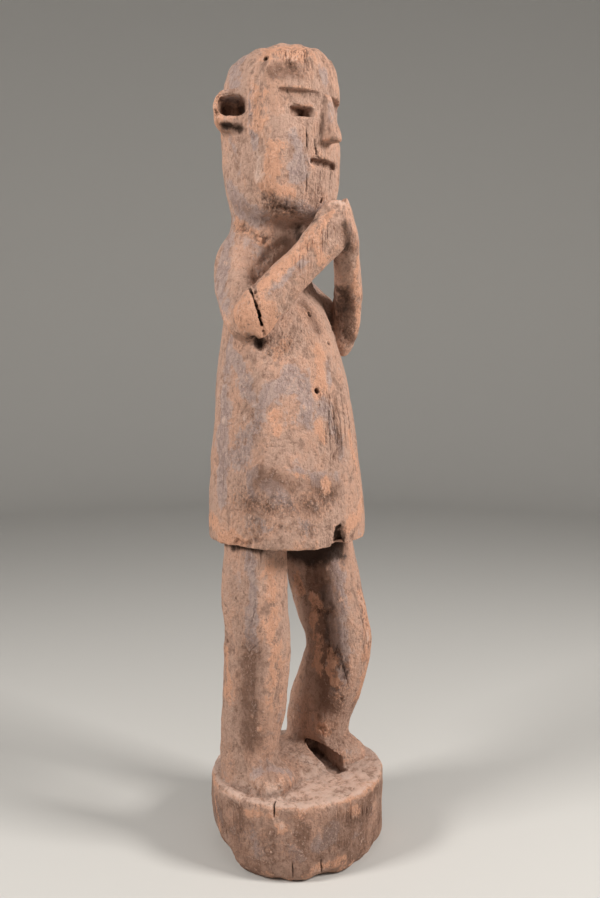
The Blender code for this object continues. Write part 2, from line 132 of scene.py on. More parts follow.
# Where the old grey-mauve skin still lies: its reach, its strength and the line along its middle
OLD_SKIN = (
    (9.6, 1.0, (-96, 27, 690), (-86, 42, 602), (-96, 35, 518), (-100, 35, 458)),
    (9.6, 1.0, (-57, -42, 609), (-71, -34, 593), (-82, -23, 579), (-90, -14, 550), (-96, -1, 525),
     (-98, 11, 506)),
    (8.4, 0.9, (-56, -43, 608), (-49, -51, 595), (-47, -56, 577), (-49, -59, 551)),
    (8.4, 0.8, (-88, 0, 598), (-87, -11, 579)),
    (7.2, 0.7, (-82, 37, 640), (-87, 14, 616)),
    (6, 0.8, (-3, -54, 623), (-5, -59, 602)),
    (8.4, 0.8, (-22, -64, 569), (-13, -69, 540), (0, -73, 512)),
    (8.4, 0.9, (-97, -12, 493), (-98, -14, 470)),
    (9.6, 0.9, (-89, -34, 481), (-79, -50, 463)),
    (8.4, 0.8, (-63, -58, 501), (-44, -70, 488), (-16, -75, 490)),
    (6, 0.6, (-97, -23, 440), (-96, -28, 426)),
    (7.2, 0.6, (-69, -63, 439), (-57, -71, 428)),
    (9.6, 1.0, (-58, 54, 792), (-80, 50, 742), (-93, 41, 696)),
    (9.6, 0.6, (-65, 23, 772), (-54, 9, 749)),
    (15, 0.9, (-60, 40, 978), (-76, 30, 943)),
    (5.4, 1.0, (-74, 1, 929), (-75, 2, 898), (-75, 4, 867)),
    (10.8, 0.9, (-53, -35, 878), (-46, -40, 859), (-40, -42, 837)),
    (15, 1.0, (-68, 47, 828), (-68, 30, 807), (-63, 16, 795)),
    (10.8, 0.8, (-54, -29, 819), (-37, -36, 804), (-11, -36, 798)),
    (8.4, 0.7, (-75, 36, 874), (-75, 29, 845)),
    (8.4, 0.8, (-10, -50, 956), (-4, -56, 931), (-13, -63, 904)),
    (8.4, 0.45, (-91, -25, 694), (-69, -42, 721)),
    (7.2, 0.4, (-57, -53, 737), (-41, -67, 751)),
    (7.2, 0.8, (-11, -82, 778), (7, -76, 755)),
    (8.4, 1.0, (-93, -6, 389), (-95, -10, 342), (-96, -6, 286)),
    (7.2, 0.9, (37, -32, 375), (36, -42, 319), (34, -48, 268), (34, -41, 200)),
    (4.8, 0.6, (-96, 15, 368), (-97, 11, 338)),
    (9.6, 0.8, (-65, -88, 49), (-47, -98, 68)),
    (8.4, 0.8, (-110, -22, 57), (-108, -30, 39)),
    (8.4, 0.6, (-88, -67, 49), (-82, -74, 31)),
    (7.2, 0.5, (-17, -107, 49), (-5, -109, 63)),
    (8.4, 0.7, (-88, -9, 125), (-50, -31, 118)),
    (7.2, 0.6, (45, -52, 116), (66, -57, 112)),
    (14, 1.0, (52, 59, 950), (50, 65, 860)),
    (16, 1.0, (-7, 91, 920), (2, 84, 830)),
    (11, 0.9, (56, -15, 940), (59, -11, 860)),
    (16, 1.0, (56, 25, 730), (71, 34, 640)),
    (18, 1.0, (10, 83, 720), (19, 92, 620), (29, 96, 550)),
    (13, 0.9, (-53, 73, 680), (-54, 89, 550)),
    (13, 0.9, (-31, 101, 500), (-42, 101, 440)),
    (14, 0.9, (79, 60, 500), (84, 60, 440)),
    (11, 0.9, (67, -21, 600), (77, -33, 500)),
    (13, 0.8, (29, -26, 320), (30, -34, 240)),
    (11, 0.8, (94, 15, 330), (90, 18, 270)),
    (16, 0.8, (63, 90, 60), (33, 105, 50)),
    (14, 0.7, (-89, 66, 40), (-103, 43, 60)),
    (13, 0.8, (104, -45, 60), (110, -21, 40)),
)

# Fresher orange wood, where the skin has worn away: reach, strength and line
FRESH_WOOD = (
    (13.2, 0.9, (-57, -5, 982), (-35, -38, 979)),
    (10.8, 0.8, (-71, -11, 930), (-73, -4, 897)),
    (10.8, 1.0, (-65, -22, 869), (-65, -18, 836)),
    (8.4, 0.9, (-69, -6, 826), (-51, -33, 821)),
    (6, 1.0, (-98, 41, 926), (-98, 42, 904), (-67, 61, 895)),
    (6, 1.1, (-62, 43, 791), (-61, 18, 774), (-48, 4, 766)),
    (6, 1.0, (-89, -23, 710), (-67, -40, 737), (-47, -60, 762), (-25, -72, 793)),
    (10.8, 1.0, (-91, -25, 685), (-76, -24, 658)),
    (9.6, 0.9, (-106, 1, 685), (-101, -15, 669)),
    (10.8, 0.9, (-45, -61, 767), (-39, -68, 749)),
    (8.4, 0.9, (-55, -30, 649), (-64, -29, 630)),
    (8.4, 1.1, (-16, -48, 637), (-24, -59, 595)),
    (7.2, 1.1, (-36, -63, 551), (-35, -67, 531)),
    (4.8, 1.0, (-79, -31, 566), (-80, -35, 543)),
    (8.4, 1.1, (-97, 51, 431), (-102, 32, 415), (-102, -2, 413)),
    (8.4, 1.1, (1, -83, 431), (28, -79, 436), (44, -71, 451)),
    (6, 0.8, (23, -66, 540), (32, -71, 488)),
    (6, 1.1, (-32, -74, 484), (-30, -75, 476)),
    (4.8, 0.8, (-66, -58, 494), (-58, -63, 489)),
    (10.8, 0.7, (-80, -26, 378), (-76, -32, 293), (-73, -28, 216)),
    (8.4, 0.8, (-94, 33, 271), (-96, 30, 208)),
    (9.6, 1.0, (73, -48, 326), (68, -62, 262), (71, -44, 176)),
    (7.5, 1.5, (27, 22, 340), (28, 17, 322)),
    (7, 1.4, (27, -3, 316), (28, -14, 307)),
    (6, 1.3, (29, -15, 142), (36, -24, 136)),
    (5.4, 1.3, (30, -30, 224), (33, -41, 206)),
    (4.8, 1.2, (34, -43, 197), (36, -44, 186)),
    (7.2, 0.8, (-23, -104, 99), (21, -105, 99)),
    (9.6, 0.6, (-23, -106, 85), (-5, -109, 74)),
    (6, 1.4, (-94, -59, 75), (-92, -62, 73)),
    (6, 0.8, (-93, 60, 97), (-104, 40, 40)),
    (7.2, 0.7, (-65, -88, 21), (-33, -104, 25)),
    (7.2, 0.8, (-22, -73, 802), (-3, -81, 811)),
    (4.8, 1.0, (21, -74, 744), (79, -35, 664)),
    (6, 0.7, (-112, -11, 84), (-82, -74, 86)),
    (4.8, 0.5, (-97, 12, 213), (-87, -18, 183)),
    (5.2, 1.4, (30, -27, 250), (31, -36, 236)),
    (14, 0.9, (31, 69, 975), (2, 84, 965)),
    (12, 1.0, (59, 17, 910), (65, 20, 870)),
    (11, 0.9, (-60, 69, 900), (-55, 72, 860)),
    (12, 0.9, (51, 76, 750), (39, 73, 700)),
    (12, 1.0, (-18, 98, 590), (-22, 102, 520)),
    (9, 1.0, (95, -2, 425), (90, 48, 420)),
    (9, 1.0, (-78, 80, 430), (-98, 47, 425)),
    (9, 0.9, (16, 106, 430), (-10, 107, 420)),
    (9, 1.0, (79, -14, 550), (86, -13, 500)),
    (12, 0.9, (-38, -17, 280)),
    (10, 0.9, (28, -5, 300), (29, -8, 220)),
    (9, 0.8, (105, 34, 90), (79, 77, 88)),
    (9, 0.8, (-33, 106, 85), (-69, 87, 80)),
    (10, 0.7, (8, 110, 20), (-17, 109, 15)),
    (11, 0.8, (62, -93, 60), (73, -85, 30)),
)

# Browner wood, and painted shade on the inner faces of the left leg and far forearm, in the neck crease
# and under the ear: reach, strength and line
DARK_WOOD_AND_SHADE = (
    (19.2, 1.0, (-96, -5, 280), (-93, -4, 163)),
    (21.6, 1.25, (26, -14, 356), (30, -18, 263), (30, -28, 178)),
    (10.8, 1.0, (-15, -24, 693), (-7, -39, 664)),
    (11, 1.2, (-63, -16, 812), (-46, -26, 800)),
    (12, 0.7, (-69, 44, 818), (-68, 22, 802)),
    (8, 0.8, (-62, 29, 782), (-60, 10, 770), (-45, -5, 776)),
    (13, 0.7, (-80, -8, 120), (-76, -40, 113)),
    (16.8, 1.0, (-92, -25, 489), (-26, -77, 472)),
    (14.4, 0.9, (-99, -12, 458), (-55, -70, 454)),
    (9.6, 1.1, (-64, -18, 953), (-51, -36, 955)),
    (11, 1.2, (-12, -84, 773), (4, -81, 754)),
    (9.6, 0.9, (-88, -6, 647), (-84, -18, 651)),
    (4.8, 0.5, (-58, -39, 752), (-45, 4, 742)),
    (6, 0.9, (-2, -63, 580), (-5, -72, 518)),
    (9.6, 0.7, (30, -31, 185), (49, -33, 125)),
    (7, 1.2, (-93, 34, 894), (-80, 21, 893)),
    (12, 1.4, (38, -46, 706), (71, -30, 657)),
    (7.2, 0.5, (-101, -9, 698), (-87, 13, 713)),
    (13, 1.0, (0, 82, 785), (32, 71, 785)),
    (11, 1.0, (-29, 77, 800), (-50, 65, 790)),
    (18, 0.8, (46, 94, 480), (8, 105, 460)),
    (12, 0.7, (78, 22, 600), (82, 24, 560)),
    (14, 0.9, (27, -12, 180)),
    (12, 0.7, (69, 55, 900)),
)

# Old dirt and soot, and painted shade under the hem, the ear and the toes and on the inner faces of the
# left leg and far forearm: reach, strength and line
SOOT_AND_SHADE = (
    (8.4, 1.0, (-2, -7, 774), (-36, -60, 784)),
    (8.4, 1.0, (-92, -8, 650), (-78, -2, 645)),
    (7.2, 1.2, (-14, -82, 426), (-11, -77, 412)),
    (7.8, 1.1, (-14, -85, 777), (-2, -83, 759), (4, -81, 752)),
    (11, 0.85, (35, -48, 711), (66, -26, 657)),
    (23, 1.6, (25, 30, 386), (29, -10, 384), (36, -34, 388)),
    (11, 0.45, (-96, -10, 254), (-94, -11, 200)),
    (6.6, 1.6, (-95, 37, 896), (-85, 26, 894), (-79, 19, 895)),
    (7.2, 0.8, (-64, -14, 814), (-54, -24, 806)),
    (4.8, 1.0, (-95, 25, 402), (-88, -18, 402), (-64, -28, 401)),
    (11, 0.8, (28, -20, 340), (30, -24, 270)),
    (4.8, 0.9, (-96, -36, 102), (-84, -50, 102), (-66, -62, 102)),
    (7, 1.0, (0, 82, 785), (17, 79, 785)),
    (10, 1.0, (90, 31, 395), (73, 57, 395)),
)

# Pale, dusty or scuffed wood: reach, strength and line
DUST = (
    (12, 1.0, (-97, 17, 102), (-95, -16, 102), (-88, -42, 100)),
    (9.6, 0.8, (-54, -82, 100), (-11, -95, 100)),
    (9.6, 0.9, (2, -3, 116), (1, -24, 110)),
    (7.2, 0.9, (-74, -1, 857), (-72, -1, 837)),
    (7.2, 1.0, (-21, -73, 805), (-3, -81, 811)),
    (6, 1.0, (-95, -57, 81), (-91, -63, 71)),
    (7.2, 0.2, (-38, -37, 934), (1, -50, 938)),
    (7.2, 0.5, (-89, -21, 357), (-86, -25, 338)),
    (4.8, 0.8, (-90, -1, 584), (-93, -1, 556)),
    (4.8, 0.7, (-86, 45, 592), (-93, 36, 554)),
    (4.8, 0.9, (-78, 20, 891), (-92, 36, 893)),
    (12, 0.5, (9, 68, 985), (-19, 68, 985)),
    (9, 0.6, (73, -48, 335), (68, -62, 262)),
    (10, 0.5, (70, 41, 720)),
    (10, 0.5, (0, 97, 600)),
)

# Where the surface has crumbled: reach, strength and line
CRUMBLED = (
    (16.8, 0.8, (-102, 8, 461), (-83, -47, 459), (-31, -77, 461)),
    (12, 1.0, (-101, -13, 434), (-59, -70, 429)),
    (6, 0.9, (-98, 41, 930), (-100, 42, 906), (-88, 40, 937)),
    (6, 1.2, (29, -15, 142), (36, -24, 136)),
    (7.2, 1.2, (-62, 43, 791), (-63, 20, 774), (-46, 3, 765)),
    (10.8, 1.1, (-67, -4, 811), (-43, -26, 798)),
    (9.6, 1.2, (-88, -6, 647), (-73, -9, 649)),
    (8.4, 1.4, (27, 22, 337), (28, 15, 315)),
    (9.6, 1.3, (28, -9, 307), (29, -25, 302)),
    (9.6, 1.2, (30, -31, 255), (34, -47, 235)),
    (8.4, 1.0, (34, -41, 200), (43, -44, 182)),
    (6, 1.0, (-92, 43, 332), (-93, 39, 231)),
    (10.8, 0.9, (-97, -7, 105), (-70, -64, 100)),
    (16.8, 0.6, (-112, -11, 55), (-90, -65, 53)),
    (8.4, 0.8, (-54, -32, 960), (-43, -41, 954)),
    (6, 0.4, (-9, -44, 860), (3, -49, 850)),
    (9.6, 0.8, (-71, -19, 635), (-52, -34, 643)),
    (7.2, 0.9, (-69, -6, 822), (-62, -18, 814)),
    (15, 0.9, (47, 96, 440), (-33, 105, 430)),
    (9, 1.2, (12, 80, 785), (-24, 80, 785)),
    (8, 1.0, (51, 45, 785), (51, 24, 780)),
    (14, 0.7, (74, 42, 600)),
    (14, 0.7, (-26, 86, 950)),
    (16, 0.7, (76, 79, 40), (0, 111, 30)),
)

# Where the grain stands open as fine dark lines: reach, strength and line
OPEN_GRAIN = (
    (14.4, 1.0, (-57, -53, 737), (-43, -65, 756), (-28, -74, 774)),
    (13.2, 1.0, (-19, -62, 584), (-12, -68, 548), (-10, -73, 512)),
    (12, 1.0, (-23, -49, 891), (-7, -39, 855), (-13, -44, 808)),
    (12, 1.0, (-52, -28, 975), (-39, -41, 971)),
    (8.4, 0.8, (-13, -84, 792), (6, -80, 760)),
    (10.8, 0.9, (71, -48, 326), (66, -62, 250), (72, -37, 160)),
    (14.4, 1.0, (-33, -104, 76), (7, -109, 69)),
    (14.4, 0.6, (-93, 4, 400), (-87, -20, 400)),
    (7.2, 0.5, (-90, 42, 566), (-99, 34, 482)),
    (24, 0.4, (-112, 9, 67), (-40, -101, 37)),
    (16, 0.9, (61, 15, 930), (64, 17, 860)),
    (18, 0.9, (0, 90, 900), (-2, 86, 840)),
    (18, 0.9, (36, 77, 680), (39, 89, 580)),
    (14, 0.8, (-43, 90, 600), (-44, 98, 500)),
    (14, 0.8, (92, 31, 460)),
    (26, 0.6, (105, 34, 50), (76, 79, 50), (33, 105, 50), (-17, 110, 50), (-64, 91, 50),
     (-99, 51, 50)),
    (20, 0.6, (104, -45, 50)),
)

# Torn, rotten or insect-eaten hollows: reach, depth and line
ROT_PITS = (
    (8.4, 5, (-78, -2, 645), (-95, -10, 651)),
    (4.8, 3, (-97, -12, 654)),
    (4.8, 3.5, (-103, 7, 412), (-96, -28, 413)),
    (7.8, 6, (-13, -83, 426), (-10, -75, 408)),
    (4.8, 2, (5, -83, 413)),
    (6, 1.8, (-68, -5, 815), (-63, -16, 817)),
    (4.8, 2, (-60, -13, 804), (-51, -21, 799)),
    (4.8, 1.5, (-51, -30, 810)),
    (4.8, 2.2, (-64, 29, 784), (-59, 14, 772)),
    (4.8, 2.2, (-52, 7, 767)),
    (4.8, 6, (-92, 42, 308)),
    (5.6, 6.2, (-93, 38, 284)),
    (5, 5.2, (-91, 42, 252)),
    (4, 2.2, (-98, 41, 930)),
    (3.6, 2, (-101, 42, 912)),
    (4, 2.2, (-86, 34, 940)),
    (4.8, 2.2, (32, -42, 252)),
    (4.2, 2.2, (35, -50, 231), (35, -47, 215)),
    (7.2, 1.6, (-52, -34, 958)),
    (6, 1.6, (-62, 46, 972), (-59, 38, 980)),
    (6, 1.6, (-10, -45, 978), (0, -48, 972)),
    (4.8, 0.5, (-65, -28, 359)),
    (4.8, 1, (49, -49, 700)),
    (4.8, 1.2, (-31, -73, 767)),
)

# Shallow carved hollows: reach, depth and line
DIPS = (
    (10.8, 2, (-92, 9, 700), (-99, -14, 660)),
    (7.2, 1, (-70, 36, 768), (-84, 16, 719)),
    (6, 1.6, (-54, 9, 742), (-43, 2, 756), (-25, -5, 771)),
    (3.6, 1, (-56, -52, 751), (-38, -64, 779)),
    (3.6, 0.8, (-38, -64, 776), (-22, -72, 805)),
    (10.8, 0.8, (-59, -32, 635), (-41, -40, 643)),
    (7, 4.2, (-95, 37, 893), (-85, 26, 892), (-79, 19, 893)),
)

# Places that stand proud of the rest: reach, height and line
SWELLS = (
    (20, 3.6, (25, 34, 378), (26, 34, 358), (28, 30, 343), (29, 27, 330)),
)

# Cuts whose edges have stayed crisp: reach, strength and line
CRISP_CUTS = (
    (14, 1.0, (-101, -19, 722), (-88, -25, 653)),
    (12, 1.0, (-7, -60, 822), (-5, -60, 790)),
)

# Furrows between the toes, which fan out from the heel:
# the heel, the first and the last toe in plan, how many furrows and their reach
TOE_FANS = (
    ((-56, 12), (-98, -14), (-42, -50), 6, 50),
    ((60, -12), (34, -42), (86, -52), 4, 38),
)
TOE_DEPTH = 1.8

# Heights between which the furrows start and fade out again
FOOT_HEIGHTS = (100.5, 104.5, 126, 140)


class CarvedWoodSettings(bpy.types.PropertyGroup):
    """Sizes and colours of the carved figure."""

    voxel: bpy.props.FloatProperty(
        name="Carving grain", description="Grid that the surface is carved on",
        default=0.0013, unit="LENGTH"
    )
    triangles: bpy.props.IntProperty(
        name="Triangles", description="Most triangles of the finished figure",
        default=196000, min=1000
    )
    stock: bpy.props.FloatProperty(
        name="Stock", description="Wood left on all round before it is carved",
        default=0.0015, unit="LENGTH"
    )
    scallop: bpy.props.FloatProperty(
        name="Adze scallops", description="Depth of the broad tool marks",
        default=0.0011, unit="LENGTH"
    )
    lump: bpy.props.FloatProperty(
        name="Lumps", description="Depth of the slow lumps that weather leaves",
        default=0.0026, unit="LENGTH"
    )
    ridge: bpy.props.FloatProperty(
        name="Grain ridges", description="Depth of the grooves between hard rings",
        default=0.0005, unit="LENGTH"
    )
    crust: bpy.props.FloatProperty(
        name="Crust", description="Depth of the small lumps all over", default=0.0011, unit="LENGTH"
    )
    crumb: bpy.props.FloatProperty(
        name="Crumbling", description="Depth of the crumbled patches", default=0.0024, unit="LENGTH"
    )
    check_depth: bpy.props.FloatProperty(
        name="Fine cracks", description="Depth of the scattered fine cracks",
        default=0.0016, unit="LENGTH"
    )
    edge_wear: bpy.props.FloatProperty(
        name="Edge wear", description="How far the sharp edges have worn back",
        default=0.0017, unit="LENGTH"
    )
    tan: bpy.props.FloatVectorProperty(
        name="Tan wood", description="Main colour of the dry wood",
        subtype="COLOR", default=(0.585, 0.375, 0.29)
    )
    brown: bpy.props.FloatVectorProperty(
        name="Brown wood", description="Darker colour of the wood",
        subtype="COLOR", default=(0.225, 0.122, 0.084)
    )
    orange: bpy.props.FloatVectorProperty(
        name="Fresh wood", description="Wood under the worn skin",
        subtype="COLOR", default=(0.74, 0.395, 0.26)
    )
    mauve: bpy.props.FloatVectorProperty(
        name="Old skin", description="Grey-mauve skin of old wood",
        subtype="COLOR", default=(0.405, 0.295, 0.272)
    )
    # This colour is real soot and grime, and also painted shade in hollows, recesses, cracks, shut-in
    # places and under overhangs.
    soot_and_shade: bpy.props.FloatVectorProperty(
        name="Soot", description="Old dirt in the hollows",
        subtype="COLOR", default=(0.040, 0.021, 0.014)
    )
    dust: bpy.props.FloatVectorProperty(
        name="Dust", description="Pale scuffs and dust", subtype="COLOR", default=(0.76, 0.55, 0.46)
    )


class StageSettings(bpy.types.PropertyGroup):
    """Sizes and colours of the floor, the lights and the camera."""

    floor_radius: bpy.props.FloatProperty(
        name="Floor radius", description="Radius of the flat floor", default=2.6, unit="LENGTH"
    )
    floor_colour: bpy.props.FloatVectorProperty(
        name="Floor", description="Colour of the floor and its backdrop",
        subtype="COLOR", default=(0.60, 0.59, 0.57)
    )
    left_light: bpy.props.FloatProperty(
        name="Left light", description="Power of the soft light on the left",
        default=30.0, unit="POWER"
    )
    right_light: bpy.props.FloatProperty(
        name="Right light", description="Power of the soft light on the right",
        default=38.0, unit="POWER"
    )
    top_light: bpy.props.FloatProperty(
        name="Top light", description="Power of the soft light above", default=4.0, unit="POWER"
    )
    air_light: bpy.props.FloatProperty(
        name="Air light", description="Strength of the light from all round", default=0.12, min=0.0
    )
    bearing: bpy.props.FloatProperty(
        name="Camera bearing", description="Side that the camera looks from",
        default=math.radians(-50), subtype="ANGLE"
    )
    distance: bpy.props.FloatProperty(
        name="Camera distance", description="Level distance from the log's axis",
        default=1.10, unit="LENGTH"
    )
    height: bpy.props.FloatProperty(
        name="Camera height", description="Height over the floor", default=0.63, unit="LENGTH"
    )
    pitch: bpy.props.FloatProperty(
        name="Camera pitch", description="How far the camera looks down",
        default=math.radians(6.02), subtype="ANGLE"
    )
    offset: bpy.props.FloatProperty(
        name="Camera offset", description="How far the camera stands to the right",
        default=0.004, unit="LENGTH"
    )
    lens: bpy.props.FloatProperty(
        name="Lens", description="Focal length on a 36 mm sensor, in millimetres", default=35.2
    )


def select_only(obj):
    """Deselects everything and makes one object selected and active."""
    bpy.ops.object.select_all(action="DESELECT")
    obj.select_set(True)
    bpy.context.view_layer.objects.active = obj


def apply_modifier(obj, kind, **values):
    """Adds one modifier to the object and applies it."""
    modifier = obj.modifiers.new(kind.title(), kind)
    for name, value in values.items():
        setattr(modifier, name, value)
    select_only(obj)
    bpy.ops.object.modifier_apply(modifier=modifier.name)


def places_of(mesh):
    """The mesh's vertices as an array."""
    flat = np.empty(len(mesh.vertices) * 3, np.float32)
    mesh.vertices.foreach_get("co", flat)
    return flat.reshape(-1, 3).astype(np.float64)


def normals_of(mesh):
    """The mesh's vertex normals as an array."""
    flat = np.empty(len(mesh.vertices) * 3, np.float32)
    mesh.vertex_normals.foreach_get("vector", flat)
    return flat.reshape(-1, 3).astype(np.float64)


def edges_of(mesh):
    """The mesh's edges as an array of vertex pairs."""
    flat = np.empty(len(mesh.edges) * 2, np.int32)
    mesh.edges.foreach_get("vertices", flat)
    return flat.reshape(-1, 2)


def move_to(mesh, points):
    """Moves the mesh's vertices to the points."""
    mesh.vertices.foreach_set("co", points.astype(np.float32).ravel())
    mesh.update()


def spread(values, edges, count, rounds, share=0.5):
    """Each vertex's value averaged with its neighbours', several rounds over."""
    degree = np.bincount(edges.ravel(), minlength=count).clip(1)
    values = values.reshape(count, -1).copy()
    for _ in range(rounds):
        for column in range(values.shape[1]):
            one = values[:, column]
            total = np.bincount(edges[:, 0], one[edges[:, 1]], count)
            total += np.bincount(edges[:, 1], one[edges[:, 0]], count)
            values[:, column] = one + share * (total / degree - one)
    return values


def lattice(cell, seed):
    """A repeatable number from -1 to 1 for each lattice point."""
    x, y, z = cell[:, 0], cell[:, 1], cell[:, 2]
    h = (x * 374761393 + y * 668265263 + z * 2246822519 + seed * 3266489917) & 0xFFFFFFFF
    h = ((h ^ (h >> 15)) * 2246822519) & 0xFFFFFFFF
    h = ((h ^ (h >> 13)) * 3266489917) & 0xFFFFFFFF
    return (h ^ (h >> 16)) / 0x7FFFFFFF - 1.0


def noise(points, size, seed):
    """Smooth noise from -1 to 1. size is how wide a lump is along x, y and z."""
    place = points / np.asarray(size)
    cell = np.floor(place).astype(np.int64)
    part = place - cell
    part = part * part * (3 - 2 * part)
    total = np.zeros(len(points))
    for corner in itertools.product((0, 1), repeat=3):
        weight = np.ones(len(points))
        for axis in range(3):
            weight *= part[:, axis] if corner[axis] else 1 - part[:, axis]
        total += weight * lattice(cell + np.array(corner), seed)
    return total


def fractal(points, size, seed, octaves=3, rough=0.5):
    """Noise on noise, each half the size of the last."""
    total, weight, reach = np.zeros(len(points)), 1.0, 0.0
    for octave in range(octaves):
        total += weight * noise(points, np.asarray(size) / 2 ** octave, seed + octave)
        reach += weight
        weight *= rough
    return total / reach


def ease(values, low, high):
    """Runs smoothly from 0 at low to 1 at high."""
    t = np.clip((values - low) / (high - low), 0, 1)
    return t * t * (3 - 2 * t)


def wander(points):
    """The points shifted about a little, which gives the edges of patches a ragged run."""
    shift = [fractal(points, (0.020, 0.020, 0.028), seed, 4, 0.62) for seed in (71, 76, 81)]
    return points + 0.0095 * np.stack(shift, axis=1)


def patches(points, table, soft=0.45, spill=1.25):
    """How far each point lies inside a table's patches, which follow lines over the surface.

    A patch is whole up to soft of its reach from its line, and ends at spill of it.
    """
    total = np.zeros(len(points))
    for reach, strength, *line in table:
        line, reach = np.array(line) / PER_METRE, reach / PER_METRE
        margin = 1.05 * spill * reach
        low, high = line.min(axis=0) - margin, line.max(axis=0) + margin
        near = np.flatnonzero(np.all((points > low) & (points < high), axis=1))
        local = points[near]
        away = np.linalg.norm(local - line[0], axis=1)
        for start, end in zip(line[:-1], line[1:]):
            run = end - start
            share = np.clip((local - start) @ run / (run @ run), 0, 1)
            away = np.minimum(away, np.linalg.norm(local - start - share[:, None] * run, axis=1))
        total[near] = np.maximum(total[near], strength * (1 - ease(away / reach, soft, spill)))
    return total


def clouds(points, table):
    """Patches that fade out slowly, for colours that run into each other."""
    return patches(points, table, -0.3, 2.1)


def grooves(points, normals, table):
    """Depth of cracks that follow lines on the surface, with wandering sides and fading ends."""
    thick = 0.012
    depth = np.zeros(len(points))
    for number, (top, bottom, half_width, deep) in enumerate(table):
        top, bottom = np.array(top) / PER_METRE, np.array(bottom) / PER_METRE
        middle = (top + bottom) / 2
        near = np.linalg.norm(points - middle, axis=1) < np.linalg.norm(top - bottom) / 2 + thick
        if not near.any():
            continue
        local, facing = points[near], normals[near]
        core = np.linalg.norm(local - middle, axis=1)
        out = facing[np.argsort(core)[:12]].mean(axis=0)
        out /= np.linalg.norm(out)
        run = bottom - top
        length = np.linalg.norm(run)
        run /= length
        side = np.cross(out, run)
        side /= np.linalg.norm(side)
        along = (local - top) @ run / length
        way = np.stack([local @ run, np.full(len(local), number * 7.7), np.zeros(len(local))], axis=1)
        drift = 0.0016 * noise(way, (0.016, 1, 1), 5) + 0.0007 * noise(way, (0.004, 1, 1), 6)
        drift *= min(1.0, length / 0.04)
        across = (local - top) @ side - drift
        lift = np.abs((local - top) @ out)
        taper = np.sqrt(np.clip(4 * along * (1 - along), 0, 1))
        width = half_width / PER_METRE * (0.35 + 0.65 * taper)
        width = width * (1 + 0.35 * noise(way, (0.006, 1, 1), 9))
        cut = np.clip(1 - (across / width) ** 2, 0, 1) * taper * (lift < thick)
        depth[near] = np.maximum(depth[near], deep / PER_METRE * cut)
    return depth


def toe_furrows(points):
    """Depth of the furrows that part the toes, with round ridges between them."""
    depth = np.zeros(len(points))
    low, low_full, high_full, high = (height / PER_METRE for height in FOOT_HEIGHTS)
    on_foot = ease(points[:, 2], low, low_full) * (1 - ease(points[:, 2], high_full, high))
    for heel, first, last, count, reach in TOE_FANS:
        heel, reach = np.array(heel) / PER_METRE, reach / PER_METRE
        first, last = np.array(first) / PER_METRE, np.array(last) / PER_METRE
        local = points[:, :2] - heel
        away = np.hypot(*local.T)
        start = math.atan2(*(first - heel)[::-1])
        sweep = (math.atan2(*(last - heel)[::-1]) - start) % (2 * math.pi)
        share = ((np.arctan2(local[:, 1], local[:, 0]) - start) % (2 * math.pi)) / sweep
        share += 0.07 * fractal(points, (0.014, 0.014, 0.014), 91)
        furrow = (1 - np.abs(np.sin(math.pi * count * share))) ** 1.3
        furrow = furrow * (0.6 + 0.6 * noise(points, (0.012,) * 3, 93))
        front = ease(away, 0.40 * reach, 0.75 * reach) * (1 - ease(away, 1.5 * reach, 1.8 * reach))
        depth += TOE_DEPTH / PER_METRE * furrow * front * on_foot * (share > 0) * (share < 1)
    return depth


def fine_cracks(points, normals):
    """Scattered cracks along the grain, which split outwards from the pith of the log."""
    x, y, z = points.T
    turn = np.arctan2(y, x) * 0.075
    square_on = np.abs(normals[:, 0] * x + normals[:, 1] * y) / np.hypot(x, y).clip(1e-4)
    wide, tall = 0.0085, 0.052
    column, row = np.floor(turn / wide), np.floor(z / tall)
    turn = turn + 0.0012 * noise(points, (0.02, 0.02, 0.014), 31)
    depth = np.zeros(len(points))
    for step, rise in itertools.product((-1, 0, 1), (-1, 0, 1)):
        cell = np.stack([column + step, row + rise, np.zeros(len(points))], axis=1).astype(np.int64)
        present = lattice(cell, 11) > 0.15
        middle_turn = (cell[:, 0] + 0.5 + 0.4 * lattice(cell, 12)) * wide
        middle_z = (cell[:, 1] + 0.5 + 0.4 * lattice(cell, 13)) * tall
        half_tall = tall * (0.35 + 0.30 * lattice(cell, 14))
        along = np.abs(z - middle_z) / half_tall
        width = 0.00095 * np.sqrt(np.clip(1 - along, 0, 1))
        cut = np.clip(1 - ((turn - middle_turn) / width.clip(1e-6)) ** 2, 0, 1) * (along < 1) * present
        depth = np.maximum(depth, cut * (0.6 + 0.4 * lattice(cell, 15)))
    mottle = ease(fractal(points, (0.05, 0.05, 0.09), 33), -0.15, 0.25)
    return depth * ease(square_on, 0.35, 0.7) * mottle


def beetle_holes(points, normals):
    """Depth of the round holes that beetles leave."""
    depth = np.zeros(len(points))
    for centre, radius, deep in BEETLE_HOLES:
        away = np.linalg.norm(points - np.array(centre) / PER_METRE, axis=1)
        nearest = np.argmin(away)
        local = points - points[nearest]
        lift = local @ normals[nearest]
        level = np.linalg.norm(local - np.outer(lift, normals[nearest]), axis=1)
        radius = radius / PER_METRE
        inside = (1 - ease(level, radius * 0.72, radius * 1.18)) * (np.abs(lift) < 0.01)
        depth = np.maximum(depth, deep / PER_METRE * inside)
    return depth


def worn_pits(points, table, rough):
    """Depth of the hollows of a table, with rims and floors as ragged as rough says."""
    ragged = 1 + rough * fractal(points, (0.006, 0.006, 0.009), 51)
    depth = np.zeros(len(points))
    for row in table:
        depth = np.maximum(depth, patches(points, (row,), 0.2) * ragged)
    return depth / PER_METRE


